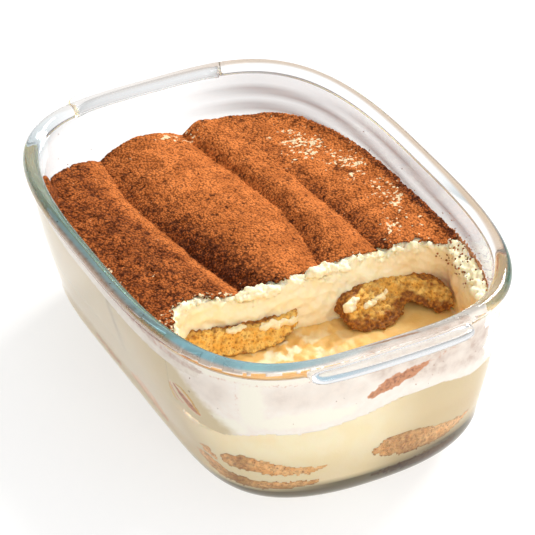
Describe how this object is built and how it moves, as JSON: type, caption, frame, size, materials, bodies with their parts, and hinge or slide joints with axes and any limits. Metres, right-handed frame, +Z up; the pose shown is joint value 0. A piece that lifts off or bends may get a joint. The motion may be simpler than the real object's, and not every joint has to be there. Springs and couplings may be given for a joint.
{
  "type": "tiramisu in a glass dish",
  "caption": "Layered sponge and cream dessert dusted with cocoa, in an oblong clear glass dish with end lugs, scooped out at one end.",
  "frame": {"origin": "centre of the dish's foot, on the surface it stands on", "axes": "+Z up; +Y along the dish to the full end, away from the scooped end at -Y; +X to the right seen from the scooped end"},
  "size_m": [0.145, 0.212, 0.071],
  "materials": {
    "dish_glass": "clear polished glass with a faint blue-green edge",
    "cream_lower": "soft smooth cream, a little translucent",
    "cream_upper": "rough whipped cream under a thick dusting of brown cocoa",
    "sponge_lower": "coffee-soaked porous sponge",
    "sponge_upper": "torn porous golden sponge with a brown crust"
  },
  "bodies": {
    "root": {"dish": "dish_glass", "cream_lower": "cream_lower", "cream_upper": "cream_upper", "sponge_lower_front_left": "sponge_lower", "sponge_lower_front_right": "sponge_lower", "sponge_lower_back_left": "sponge_lower", "sponge_lower_back_right": "sponge_lower", "sponge_upper_left": "sponge_upper", "sponge_upper_right": "sponge_upper"}
  },
  "joints": []
}
